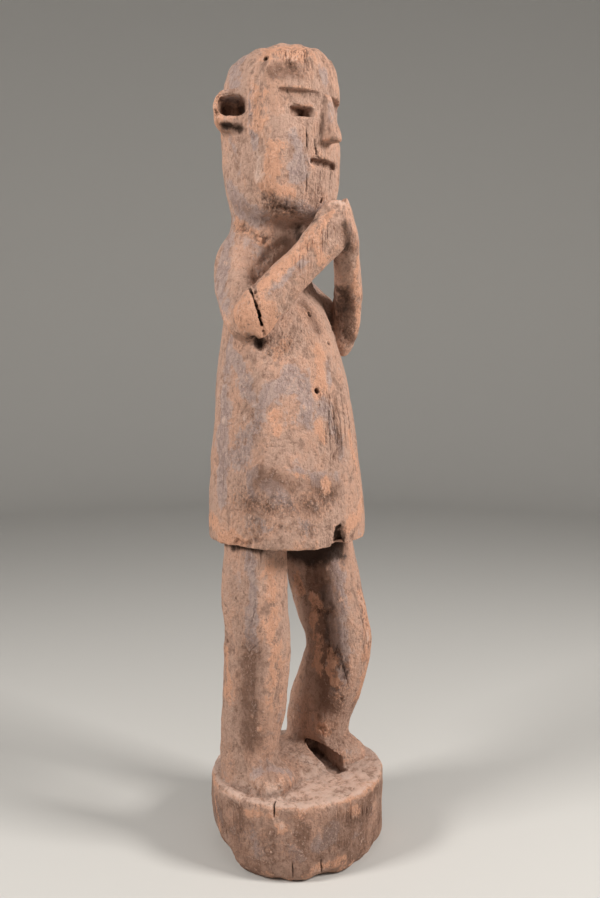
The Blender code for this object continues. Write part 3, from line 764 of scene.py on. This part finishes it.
def ring_ridges(points):
    """Ridges of the hard yearly rings, which lie round the wandering pith of the log."""
    x, y, z = points.T
    sway = np.stack([z, np.zeros(len(z)), np.zeros(len(z))], axis=1)
    pith_x = 0.012 + 0.008 * noise(sway, (0.22, 1, 1), 3)
    pith_y = 0.020 + 0.008 * noise(sway, (0.27, 1, 1), 4)
    radius = np.hypot(x - pith_x, y - pith_y) + 0.0025 * noise(points, (0.04, 0.04, 0.12), 21)
    rings = 0.5 + 0.5 * np.sin(radius * 2 * math.pi / 0.0052)
    fibre = fractal(points, (0.0042, 0.0042, 0.060), 22, 2)
    return 0.55 * rings * rings + 0.45 * ease(fibre, -0.1, 0.6)


def scoops(points, size, seed):
    """Shallow hollows that meet in ridges, as an adze leaves them: from 0 in the middle to 1."""
    place = points / np.asarray(size)
    home = np.floor(place - 0.5).astype(np.int64)
    nearest = np.ones(len(points))
    for step in itertools.product((0, 1), repeat=3):
        cell = home + np.array(step)
        middle = cell + 0.5 + 0.42 * np.stack([lattice(cell, seed + k) for k in range(3)], axis=1)
        nearest = np.minimum(nearest, ((place - middle) ** 2).sum(axis=1))
    return nearest


class Carving:
    """The carved surface while it is worked on: its points, and what weather has done at each."""

    def __init__(self, mesh, settings):
        self.mesh = mesh
        self.points = places_of(mesh)
        self.normals = normals_of(mesh)
        self.settings = settings
        rounded = spread(self.points, edges_of(mesh), len(self.points), 20)
        self.sharp = ease(((self.points - rounded) * self.normals).sum(axis=1), 0.0003, 0.0013)

    def weather(self):
        """Works out how far every point is cut back, and where the skin holds or has crumbled."""
        p, n, s = self.points, self.normals, self.settings
        drawn = wander(p)
        crumbled = patches(drawn, CRUMBLED, 0.1, 1.5)
        crumbled += 0.45 * ease(fractal(p, (0.05, 0.05, 0.08), 41), 0.15, 0.6)
        self.crumbled = np.clip(crumbled, 0, 1.3)
        open_grain = patches(drawn, OPEN_GRAIN, 0.1, 1.4)
        self.holes = beetle_holes(p, n)
        checks = fine_cracks(p, n) * s.check_depth * (0.3 + 0.7 * open_grain)
        self.cracks = np.maximum(grooves(p, n, CRACKS), checks)
        pebbles = fractal(p, (0.0060, 0.0060, 0.0080), 42, 3, 0.6)
        crust = fractal(p, (0.013, 0.013, 0.018), 46, 4, 0.66)
        chips = fractal(p, (0.010, 0.010, 0.013), 47, 3)
        lumps = fractal(p, (0.036, 0.036, 0.054), 43, 3, 0.55)
        crown = ease(p[:, 2], 0.945, 0.980)
        crisp = patches(p, CRISP_CUTS)
        depth = s.scallop * (1 - scoops(p, (0.020, 0.020, 0.034), 81))
        depth += s.lump * (0.4 + lumps) * (1 + 1.2 * crown)
        depth += s.ridge * ring_ridges(p) * (0.15 + open_grain) * (1 - np.abs(n[:, 2]))
        depth += s.crust * crust * (0.8 + 0.7 * self.crumbled + 2.0 * crown)
        depth += s.crumb * self.crumbled * (0.2 + 0.8 * ease(pebbles, -0.30, 0.40))
        depth += s.edge_wear * self.sharp * (0.2 + 1.6 * ease(chips, -0.10, 0.45))
        depth *= 1 - 0.85 * crisp
        depth += worn_pits(drawn, ROT_PITS, 0.6) + patches(p, DIPS, 0.0) / PER_METRE + toe_furrows(p)
        left_on = s.stock * (1 - crisp) + patches(p, SWELLS, 0.0) / PER_METRE
        return np.maximum(depth, 0) + self.cracks + self.holes - left_on

    def cut(self):
        """Cuts the surface back, and keeps it inside the solid's box and flat underneath."""
        moved = self.points - self.normals * self.weather()[:, None]
        flat = self.points[:, 2] < UNDERSIDE / PER_METRE
        moved[flat, 2] = self.points[flat, 2]
        move_to(self.mesh, np.clip(moved, *CAD_BOX))
        self.points = moved

    def carry_to(self, points):
        """For each point, what weather has done at the nearest place of the carving."""
        tree = KDTree(len(self.points))
        for index, place in enumerate(self.points):
            tree.insert(place, index)
        tree.balance()
        nearest = np.array([tree.find(place)[1] for place in points])
        return self.crumbled[nearest], (self.cracks + self.holes)[nearest]


def carve_figure(settings):
    """Copies the solid, rounds its facets and carves its weathered surface."""
    solid = bpy.data.objects[NODE]
    figure = bpy.data.objects.new("carved_figure", solid.data.copy())
    bpy.context.scene.collection.objects.link(figure)
    figure.data.materials.clear()
    select_only(figure)
    bpy.ops.object.mode_set(mode="EDIT")
    bpy.ops.mesh.select_all(action="SELECT")
    bpy.ops.mesh.remove_doubles(threshold=0.00002)
    bpy.ops.object.mode_set(mode="OBJECT")
    crease_sharp_edges(figure.data, math.radians(38))
    apply_modifier(figure, "SUBSURF", levels=2, render_levels=2)
    apply_modifier(figure, "REMESH", mode="VOXEL", voxel_size=settings.voxel)
    apply_modifier(figure, "SMOOTH", factor=0.5, iterations=4)
    carving = Carving(figure.data, settings)
    carving.cut()
    apply_modifier(figure, "TRIANGULATE")
    share = settings.triangles / len(figure.data.polygons)
    apply_modifier(figure, "DECIMATE", ratio=min(1.0, share))
    move_to(figure.data, np.clip(places_of(figure.data), *CAD_BOX))
    bpy.ops.object.shade_smooth()
    keep_weather(figure.data, carving)
    return figure


def crease_sharp_edges(mesh, angle):
    """Creases the edges that the carver left sharp, so that subdivision rounds only the rest."""
    faces = {}
    for polygon in mesh.polygons:
        for key in polygon.edge_keys:
            faces.setdefault(key, []).append(polygon.normal)
    crease = mesh.attributes.new("crease_edge", "FLOAT", "EDGE")
    for edge in mesh.edges:
        sides = faces.get(edge.key, ())
        if len(sides) == 2 and sides[0].angle(sides[1], 0) > angle:
            crease.data[edge.index].value = 0.85


def store(mesh, name, values):
    """Keeps one number for each vertex as an attribute that the material reads."""
    layer = mesh.attributes.new(name, "FLOAT", "POINT")
    layer.data.foreach_set("value", values.astype(np.float32))


def openness(mesh, points, normals):
    """The share of the sky that each vertex sees, from rays to all sides."""
    tree = BVHTree.FromPolygons(
        [Vector(p) for p in points], [tuple(polygon.vertices) for polygon in mesh.polygons]
    )
    rays, reach = 14, 0.09
    golden = math.pi * (3 - math.sqrt(5))
    directions = []
    for k in range(rays):
        up = 1 - 2 * (k + 0.5) / rays
        flat = math.sqrt(1 - up * up)
        directions.append(Vector((flat * math.cos(golden * k), flat * math.sin(golden * k), up)))
    seen = np.empty(len(points))
    for index in range(len(points)):
        normal = Vector(normals[index])
        start = Vector(points[index]) + normal * 0.0012
        free = total = 0.0
        for direction in directions:
            slope = direction.dot(normal)
            if slope < 0:
                direction, slope = -direction, -slope
            total += slope
            if tree.ray_cast(start, direction, reach)[0] is None:
                free += slope
        seen[index] = free / total
    return seen


def keep_weather(mesh, carving):
    """Stores on the finished mesh what the material needs to know of each place, with the hollows,
    recesses, cracks and shut-in places where it paints shade and the crests where it paints highlights.
    """
    points, normals, edges = places_of(mesh), normals_of(mesh), edges_of(mesh)
    count = len(points)
    fine = spread(points, edges, count, 3)
    broad = spread(points, edges, count, 24)
    bulge = ((points - fine) * normals).sum(axis=1)
    swell = ((points - broad) * normals).sum(axis=1)
    seen = spread(openness(mesh, points, normals), edges, count, 2)[:, 0]
    crumbled, cut = carving.carry_to(points)
    drawn = wander(points)
    height = points[:, 2]
    mottled = fractal(points, (0.026, 0.026, 0.034), 61)
    low_down = (0.56 + 0.60 * mottled) * (1 - ease(height, 0.090, 0.099))
    low_down += 0.28 * (1 - ease(height, 0.12, 0.42)) * ease(height, 0.104, 0.125)
    plinth_top = 0.85 * ease(normals[:, 2], 0.35, 0.85) * ease(height, 0.085, 0.095)
    plinth_top = plinth_top * (1 - ease(height, 0.103, 0.116))
    # hollow, recess, shut_in and cut mark fine hollows, broad recesses, places that see little sky, and
    # cracks and holes, which the material darkens as painted shade; crest marks fine crests, which it
    # lightens as a painted highlight.
    store(mesh, "hollow", ease(-bulge, 0.00003, 0.00045))
    store(mesh, "crest", ease(bulge, 0.00003, 0.00035))
    store(mesh, "edge", ease(swell, 0.0003, 0.0022))
    store(mesh, "recess", ease(-swell, 0.0002, 0.0024))
    store(mesh, "shut_in", 1 - ease(seen, 0.05, 0.75))
    store(mesh, "cut", ease(cut, 0.0004, 0.0022))
    store(mesh, "crumbled", np.clip(crumbled, 0, 1))
    store(mesh, "skin", clouds(drawn, OLD_SKIN))
    store(mesh, "fresh", clouds(drawn, FRESH_WOOD))
    store(mesh, "dark_wood_and_shade", np.maximum(clouds(drawn, DARK_WOOD_AND_SHADE), low_down))
    store(mesh, "soot_and_shade", clouds(drawn, SOOT_AND_SHADE))
    store(mesh, "dust", np.maximum(clouds(drawn, DUST), plinth_top))
    store(mesh, "open_grain", patches(drawn, OPEN_GRAIN, 0.1, 1.4))


class Graph:
    """The nodes of one material, added and linked by short calls."""

    def __init__(self, name):
        self.material = bpy.data.materials.new(name)
        self.material.use_nodes = True
        self.tree = self.material.node_tree
        self.shader = self.tree.nodes["Principled BSDF"]
        self.place = self.add("ShaderNodeTexCoord").outputs["Object"]

    def add(self, kind, inputs=None, **settings):
        """Adds a node, sets its settings, and links or sets its inputs."""
        node = self.tree.nodes.new(kind)
        for name, value in settings.items():
            setattr(node, name, value)
        for key, value in (inputs or {}).items():
            self.join(value, node.inputs[key])
        return node

    def join(self, value, socket):
        """Links the value to the socket if it is an output, and sets it there if it is plain."""
        if isinstance(value, bpy.types.NodeSocket):
            self.tree.links.new(value, socket)
        else:
            socket.default_value = value

    def attribute(self, name):
        return self.add("ShaderNodeAttribute", attribute_name=name).outputs["Fac"]

    def stretched(self, scale, turn=(0, 0, 0)):
        inputs = {"Vector": self.place, "Scale": scale, "Rotation": turn}
        return self.add("ShaderNodeMapping", inputs).outputs["Vector"]

    def noise(self, scale, detail=3.0, rough=0.55, bend=0.0, turn=(0, 0, 0)):
        """Noise whose lumps number scale to the metre along x, y and z."""
        return self.add("ShaderNodeTexNoise", {
            "Vector": self.stretched(scale, turn), "Scale": 1.0, "Detail": detail, "Roughness": rough,
            "Distortion": bend,
        }).outputs["Fac"]

    def math(self, operation, first, second=0.0):
        node = self.add("ShaderNodeMath", operation=operation, use_clamp=False)
        self.join(first, node.inputs[0])
        self.join(second, node.inputs[1])
        return node.outputs[0]

    def times(self, first, second):
        return self.math("MULTIPLY", first, second)

    def swing(self, value):
        """Noise from its usual range round a half to a range from about -1 to 1."""
        return self.times(self.math("SUBTRACT", value, 0.5), 4.0)

    def sum(self, *weighed, plus=0.0):
        """The sum of pairs of a value and its weight."""
        total = plus
        for value, weight in weighed:
            total = self.math("ADD", self.times(value, weight), total)
        return total

    def between(self, value, low, high, bottom=0.0, top=1.0):
        """Maps the value smoothly, so that low gives bottom and high gives top."""
        return self.add("ShaderNodeMapRange", {
            "Value": value, "From Min": low, "From Max": high, "To Min": bottom, "To Max": top,
        }, interpolation_type="SMOOTHSTEP").outputs["Result"]

    def blend(self, share, under, over, how="MIX"):
        """One colour laid over another."""
        node = self.add("ShaderNodeMix", data_type="RGBA", blend_type=how, clamp_factor=True)
        for value, socket in ((share, node.inputs[0]), (under, node.inputs[6]), (over, node.inputs[7])):
            self.join((*value, 1.0) if isinstance(value, tuple) and len(value) == 3 else value, socket)
        return node.outputs[2]


def weathered_wood(settings):
    """Old dry wood: tan and brown, with grey-mauve skin, orange wear, soot and dust, painted shade in
    its hollows, cracks and shut-in places, and painted highlights on its crests.
    """
    g = Graph("weathered_wood")
    tan, brown, orange = tuple(settings.tan), tuple(settings.brown), tuple(settings.orange)
    mauve, soot_and_shade, dust = tuple(settings.mauve), tuple(settings.soot_and_shade), tuple(settings.dust)
    warm = tuple(0.6 * t + 0.4 * o for t, o in zip(tan, orange))
    shade = tuple(0.45 * t + 0.55 * b for t, b in zip(tan, brown))
    pale_mauve = tuple(0.65 * m + 0.35 * d for m, d in zip(mauve, dust))

    broad = g.swing(g.noise((24, 24, 16), 4.0, 0.6))
    mottle = g.swing(g.noise((60, 60, 44), 5.0, 0.66))
    blotch = g.swing(g.noise((150, 150, 115), 5.0, 0.70))
    grit = g.swing(g.noise((400, 400, 320), 4.0, 0.72))
    crumbs = g.noise((330, 330, 290), 4.0, 0.7)
    fibre = g.noise((620, 620, 34), 4.0, 0.6)
    strand = g.noise((250, 250, 16), 3.0, 0.55, 0.2)
    grain = g.attribute("open_grain")
    crumbled = g.attribute("crumbled")
    fresh = g.attribute("fresh")
    recess = g.attribute("recess")
    ragged = g.sum((mottle, 0.70), (blotch, 0.60), (grit, 0.15))

    colour = g.blend(g.between(g.sum((broad, 1.0), (mottle, 0.6)), -0.30, 0.35), tan, warm)
    dull = g.between(g.sum((mottle, 0.7), (blotch, 0.7)), -0.05, -0.60, 0.0, 0.90)
    colour = g.blend(dull, colour, shade)
    # Browner wood, with painted shade in the broad recesses and on the shaded inner faces that its
    # table lists.
    dark = g.sum((g.attribute("dark_wood_and_shade"), 1.15), (recess, 0.35), (ragged, 0.80))
    dark = g.between(dark, 0.25, 1.10, 0.0, 0.95)
    colour = g.blend(dark, colour, brown)

    skin = g.sum((g.attribute("skin"), 1.25), (fresh, -0.7), (ragged, 0.75), (broad, 0.55))
    skin = g.between(skin, 0.30, 0.78)
    grey = g.blend(g.between(blotch, -0.25, 0.30), mauve, pale_mauve)
    grey = g.blend(g.times(dark, 0.70), grey, brown)
    colour = g.blend(g.times(skin, 0.92), colour, grey)

    worn = g.sum((fresh, 1.15), (g.attribute("edge"), 0.65), (ragged, 0.80))
    worn = g.between(worn, 0.38, 0.90, 0.0, 0.92)
    colour = g.blend(worn, colour, orange)

    lines = g.times(g.between(fibre, 0.50, 0.34), g.sum((grain, 0.85), plus=0.12))
    colour = g.blend(lines, colour, brown, "MULTIPLY")
    threads = g.times(g.between(strand, 0.46, 0.32), g.sum((grain, 0.5), plus=0.15))
    colour = g.blend(threads, colour, brown)
    specks = g.between(g.sum((grit, 1.0), (blotch, 0.6)), -0.25, -0.85, 0.0, 0.60)
    colour = g.blend(specks, colour, brown)
    glints = g.between(g.sum((grit, 1.0), (mottle, 0.5)), 0.25, 0.85, 0.0, 0.40)
    colour = g.blend(glints, colour, dust)

    loose = g.times(crumbled, g.between(crumbs, 0.51, 0.63))
    colour = g.blend(g.times(loose, 0.70), colour, orange)
    pocket = g.times(crumbled, g.between(crumbs, 0.48, 0.36))
    colour = g.blend(g.times(pocket, 0.42), colour, soot_and_shade)

    # Pale dust, with a painted highlight on the fine crests.
    dust_and_highlight = g.sum((g.attribute("dust"), 1.0), (g.attribute("crest"), 0.35), (ragged, 0.8))
    dust_and_highlight = g.between(dust_and_highlight, 0.35, 1.25, 0.0, 0.75)
    colour = g.blend(dust_and_highlight, colour, dust)

    # Soot and grime, with painted shade in the broad recesses and where a place sees little sky.
    dirt_and_shade = g.sum((g.attribute("soot_and_shade"), 1.20), (recess, 0.35))
    dirt_and_shade = g.sum((dirt_and_shade, 1.0), (g.attribute("shut_in"), 0.65), (fresh, -0.45), (ragged, 0.45))
    dirt_and_shade = g.between(dirt_and_shade, 0.40, 1.30, 0.0, 0.95)
    colour = g.blend(dirt_and_shade, colour, soot_and_shade)
    # Painted shade in the fine hollows and inside the cracks and beetle holes.
    colour = g.blend(g.times(g.attribute("hollow"), 0.26), colour, soot_and_shade)
    colour = g.blend(g.times(g.attribute("cut"), 0.95), colour, soot_and_shade)
    g.join(colour, g.shader.inputs["Base Color"])

    g.join(g.between(skin, 0.0, 1.0, 0.92, 0.74), g.shader.inputs["Roughness"])
    g.shader.inputs["Specular IOR Level"].default_value = 0.25

    height = g.times(fibre, g.sum((grain, 0.8), plus=0.15))
    height = g.math("ADD", height, g.sum((mottle, 0.60), (blotch, 0.55), (grit, 0.24)))
    height = g.math("ADD", height, g.times(g.times(crumbs, crumbled), 1.5))
    bump = g.add("ShaderNodeBump", {"Height": height, "Strength": 1.0, "Distance": 0.0027})
    g.join(bump.outputs["Normal"], g.shader.inputs["Normal"])
    return g.material


class FIGURE_OT_carve(bpy.types.Operator):
    """Carve the figure and its plinth in weathered wood"""

    bl_idname = "ancestor_figure.carve"
    bl_label = "Carve the figure"

    def execute(self, context):
        settings = context.scene.carved_wood
        figure = carve_figure(settings)
        figure.data.materials.append(weathered_wood(settings))
        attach(figure, "root")
        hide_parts(NODE)
        return {"FINISHED"}


def pale_floor(settings):
    """A round floor that sweeps up into a backdrop on every side."""
    bpy.ops.object.select_all(action="DESELECT")
    bpy.ops.mesh.primitive_circle_add(vertices=96, radius=settings.floor_radius, fill_type="NGON")
    floor = bpy.context.object
    floor.name = "floor"
    bpy.ops.object.mode_set(mode="EDIT")
    bpy.ops.mesh.select_mode(type="EDGE")
    bpy.ops.mesh.select_all(action="SELECT")
    steps, bend = 10, 0.9
    radius = settings.floor_radius
    for k in range(steps):
        before, after = (math.pi / 2 * (k + j) / steps for j in (0, 1))
        grown = radius + bend * (math.sin(after) - math.sin(before))
        rise = bend * (math.cos(before) - math.cos(after))
        if k == 0:
            bpy.ops.mesh.region_to_loop()
        bpy.ops.mesh.extrude_edges_move(TRANSFORM_OT_translate={"value": (0, 0, rise)})
        bpy.ops.transform.resize(value=(grown / radius, grown / radius, 1), center_override=(0, 0, 0))
        radius = grown
    bpy.ops.mesh.extrude_edges_move(TRANSFORM_OT_translate={"value": (0, 0, 2.5)})
    bpy.ops.object.mode_set(mode="OBJECT")
    bpy.ops.object.shade_smooth_by_angle(angle=math.radians(40))
    g = Graph("pale_paper")
    g.shader.inputs["Base Color"].default_value = (*settings.floor_colour, 1.0)
    g.shader.inputs["Roughness"].default_value = 0.9
    floor.data.materials.append(g.material)


def soft_light(name, bearing, height, distance, size, power, colour):
    """A square soft light that stands at a bearing and looks at the middle of the figure."""
    middle = 0.5
    light = bpy.data.lights.new(name, "AREA")
    light.shape = "SQUARE"
    light.size = size
    light.energy = power
    light.color = colour
    lamp = bpy.data.objects.new(name, light)
    bpy.context.scene.collection.objects.link(lamp)
    lamp.location = (math.sin(bearing) * distance, -math.cos(bearing) * distance, height)
    lamp.rotation_euler = (Vector((0, 0, middle)) - lamp.location).to_track_quat("-Z", "Y").to_euler()


class FIGURE_OT_stage(bpy.types.Operator):
    """Set the floor, the lights and the camera"""

    bl_idname = "ancestor_figure.stage"
    bl_label = "Set the stage"

    def execute(self, context):
        settings = context.scene.figure_stage
        pale_floor(settings)
        bearing = settings.bearing
        warm, plain = (1.0, 0.965, 0.92), (1.0, 0.985, 0.965)
        left, right = bearing - math.radians(60), bearing + math.radians(66)
        side = {"distance": 1.60, "size": 0.50, "colour": warm}
        soft_light("left_light", left, height=1.50, power=settings.left_light, **side)
        soft_light("right_light", right, height=1.45, power=settings.right_light, **side)
        soft_light("top_light", bearing, 2.3, 0.7, 1.0, settings.top_light, plain)
        world = bpy.data.worlds.new("air")
        world.use_nodes = True
        world.node_tree.nodes["Background"].inputs["Color"].default_value = (1.0, 0.99, 0.975, 1.0)
        world.node_tree.nodes["Background"].inputs["Strength"].default_value = settings.air_light
        context.scene.world = world
        camera = bpy.data.objects.new("camera", bpy.data.cameras.new("camera"))
        context.scene.collection.objects.link(camera)
        aside = Vector((math.cos(bearing), math.sin(bearing), 0))
        back = Vector((math.sin(bearing), -math.cos(bearing), 0))
        camera.location = back * settings.distance + aside * settings.offset
        camera.location.z = settings.height
        look = -back * math.cos(settings.pitch) - Vector((0, 0, math.sin(settings.pitch)))
        camera.rotation_euler = look.to_track_quat("-Z", "Y").to_euler()
        camera.data.lens = settings.lens
        camera.data.sensor_width = 36.0
        context.scene.camera = camera
        context.scene.view_settings.view_transform = "Standard"
        return {"FINISHED"}


class FIGURE_PT_panel(bpy.types.Panel):
    """Sizes, colours and steps of the ancestor figure"""

    bl_idname = "FIGURE_PT_panel"
    bl_label = "Ancestor Figure"
    bl_space_type = "VIEW_3D"
    bl_region_type = "UI"
    bl_category = "Ancestor Figure"

    def draw(self, context):
        layout = self.layout
        for group in (context.scene.carved_wood, context.scene.figure_stage):
            box = layout.box()
            for name in group.bl_rna.properties.keys():
                if name not in ("rna_type", "name"):
                    box.prop(group, name)
        for operator in (FIGURE_OT_carve, FIGURE_OT_stage):
            layout.operator(operator.bl_idname)


CLASSES = (CarvedWoodSettings, StageSettings, FIGURE_OT_carve, FIGURE_OT_stage, FIGURE_PT_panel)


def register():
    for cls in CLASSES:
        bpy.utils.register_class(cls)
    bpy.types.Scene.carved_wood = bpy.props.PointerProperty(type=CarvedWoodSettings)
    bpy.types.Scene.figure_stage = bpy.props.PointerProperty(type=StageSettings)


def unregister():
    del bpy.types.Scene.figure_stage
    del bpy.types.Scene.carved_wood
    for cls in reversed(CLASSES):
        bpy.utils.unregister_class(cls)


def main():
    register()
    bpy.ops.ancestor_figure.carve()
    bpy.ops.ancestor_figure.stage()


if __name__ == "__main__":
    main()
